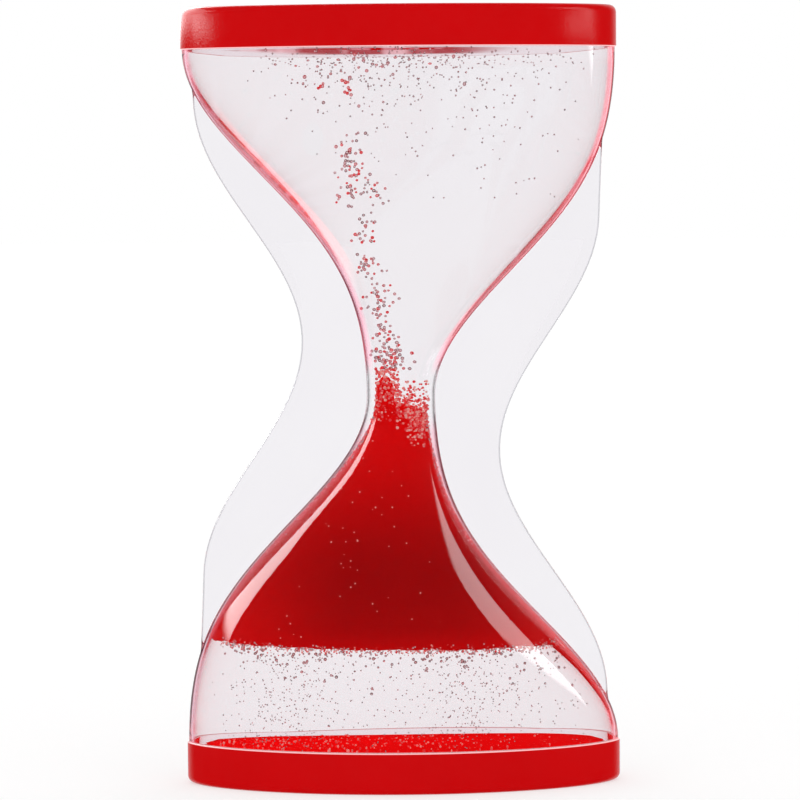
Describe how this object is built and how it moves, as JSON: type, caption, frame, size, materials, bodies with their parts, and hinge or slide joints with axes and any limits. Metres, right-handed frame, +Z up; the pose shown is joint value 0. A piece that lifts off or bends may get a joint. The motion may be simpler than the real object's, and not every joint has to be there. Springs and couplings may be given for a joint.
{
  "type": "sand timer",
  "caption": "Liquid-filled hourglass timer: a clear, wavy, webbed body between two red lens-shaped caps, in which red beads float up through a narrow neck.",
  "frame": {"origin": "middle of the bottom cap's underside, on the surface that the timer stands on", "axes": "+Z up along the timer's axis, +X to the right and -Y to the viewer, with the parting plane of the two clear halves at y = 0"},
  "size_m": [0.075, 0.036, 0.134],
  "materials": {
    "clear_body": "clear polished moulded plastic",
    "red_cap": "glossy red moulded plastic",
    "red_plug": "glossy red moulded plastic, wet on the chamber side",
    "stopper": "milky soft stopper",
    "liquid": "clear liquid",
    "red_beads": "small glossy translucent red beads"
  },
  "bodies": {
    "timer": {"front_shell": "clear_body", "rear_shell": "clear_body", "top_cap": "red_cap", "bottom_cap": "red_cap", "upper_end_plug": "red_plug", "lower_end_plug": "red_plug", "fill_stopper": "stopper", "upper_liquid": "liquid", "lower_liquid": "liquid", "bead_mass": "red_beads", "roof_beads": "red_beads", "hanging_beads": "red_beads"},
    "rising_beads": {"rising_beads": "red_beads"}
  },
  "joints": [
    {"name": "bead_rise", "type": "slide", "parent": "timer", "child": "rising_beads", "axis": [0, 0, 1], "range_m": [0, 0.011]}
  ]
}
